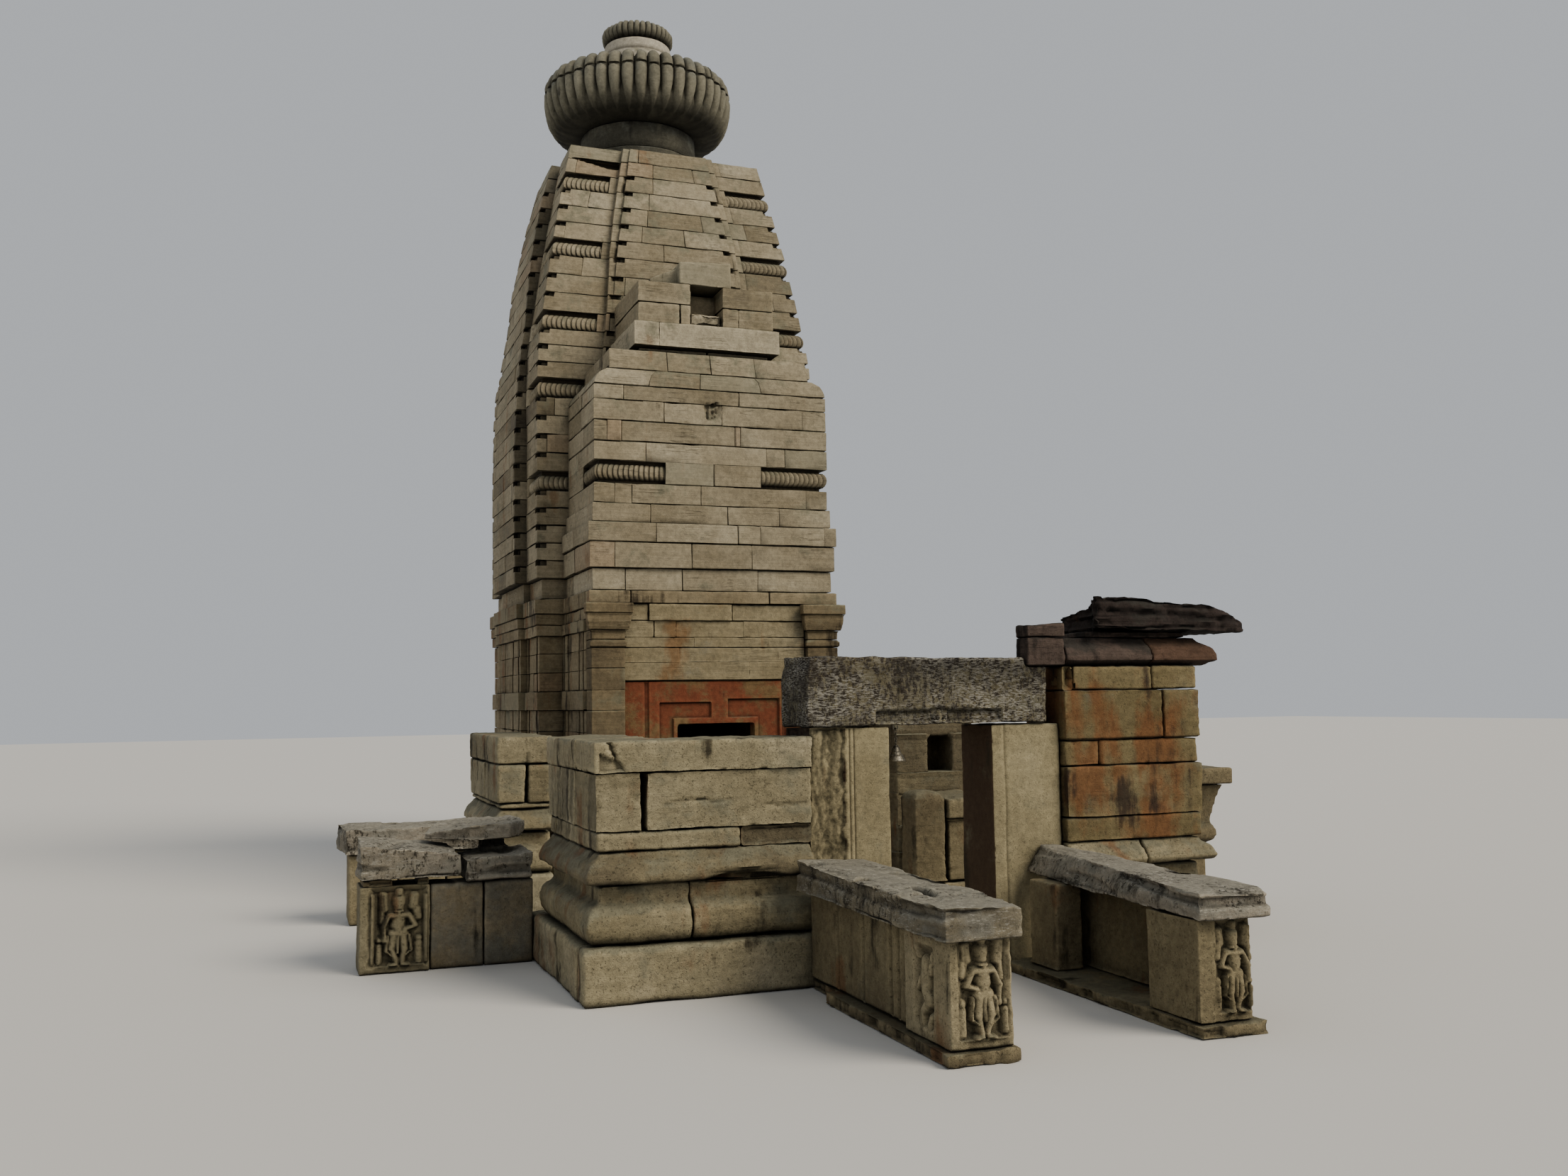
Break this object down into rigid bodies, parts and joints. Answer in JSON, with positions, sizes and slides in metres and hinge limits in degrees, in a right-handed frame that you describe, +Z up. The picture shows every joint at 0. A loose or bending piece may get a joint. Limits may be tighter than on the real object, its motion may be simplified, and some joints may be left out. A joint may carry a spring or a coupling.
{
  "type": "hindu temple",
  "caption": "Stone Nagara temple: a curved-spire shrine with a ribbed crown stone, and the moulded walls, doorway, benches and swinging bell of its ruined front hall.",
  "frame": {"origin": "on the ground under the centre of the spire", "axes": "+X to the right of someone entering, +Y into the temple, from the front benches to the back of the spire, +Z up"},
  "size_m": [6.28, 9.915, 8.715],
  "materials": {
    "sandstone": "dressed sandstone in thin courses, tan with grey-green weathering",
    "grey_weathered_stone": "grey sandstone slabs, rain-worn and lichened",
    "dark_weathered_stone": "dark stained sandstone",
    "ochre_painted_stone": "sandstone with worn red ochre wash",
    "bell_metal": "dull cast bell metal and iron chain"
  },
  "bodies": {
    "temple": {"amalaka": "sandstone", "antarala_wall_left": "sandstone", "antarala_wall_right": "sandstone", "bell_staple": "bell_metal", "crown_bell": "sandstone", "crown_cushion": "sandstone", "doorway_jamb_left": "sandstone", "doorway_jamb_right": "sandstone", "doorway_lintel": "grey_weathered_stone", "front_gable": "sandstone", "front_left_base": "sandstone", "front_left_coping": "sandstone", "front_left_wall": "sandstone", "front_right_base": "sandstone", "front_right_cornice": "dark_weathered_stone", "front_right_top_slab": "grey_weathered_stone", "front_right_wall": "sandstone", "left_bench_block": "sandstone", "left_bench_slab": "grey_weathered_stone", "left_bench_wall": "sandstone", "niche_box": "sandstone", "niche_cap": "sandstone", "overdoor_wall": "sandstone", "pilaster_left": "sandstone", "pilaster_right": "sandstone", "porch_far_bench": "sandstone", "porch_far_slab": "grey_weathered_stone", "porch_loose_slab": "grey_weathered_stone", "porch_near_block": "sandstone", "porch_near_panel": "dark_weathered_stone", "porch_near_slab_inner": "grey_weathered_stone", "porch_near_slab_outer": "grey_weathered_stone", "rear_left_base": "sandstone", "rear_left_wall": "sandstone", "rear_right_wall": "sandstone", "recessed_course": "sandstone", "right_bench_block": "sandstone", "right_bench_slab": "grey_weathered_stone", "right_bench_wall": "sandstone", "right_inner_bench": "sandstone", "right_inner_pillar": "sandstone", "right_porch_far_bench": "sandstone", "right_porch_near_bench": "sandstone", "right_porch_pillar_base": "sandstone", "sanctum_door_surround": "ochre_painted_stone", "sanctum_wall_back": "sandstone", "sanctum_wall_left": "sandstone", "sanctum_wall_right": "sandstone", "shrine_plinth": "sandstone", "spire_base": "sandstone", "spire_lower": "sandstone", "spire_middle": "sandstone", "spire_neck": "sandstone", "spire_upper": "sandstone", "wall_cornice": "sandstone"},
    "bell": {"bell_chain": "bell_metal", "bell": "bell_metal"}
  },
  "joints": [
    {"name": "bell_swing", "type": "hinge", "parent": "temple", "child": "bell", "pos_m": [-0.075, -6.216, 1.414], "axis": [1, 0, 0], "range_deg": [-25, 25]}
  ]
}
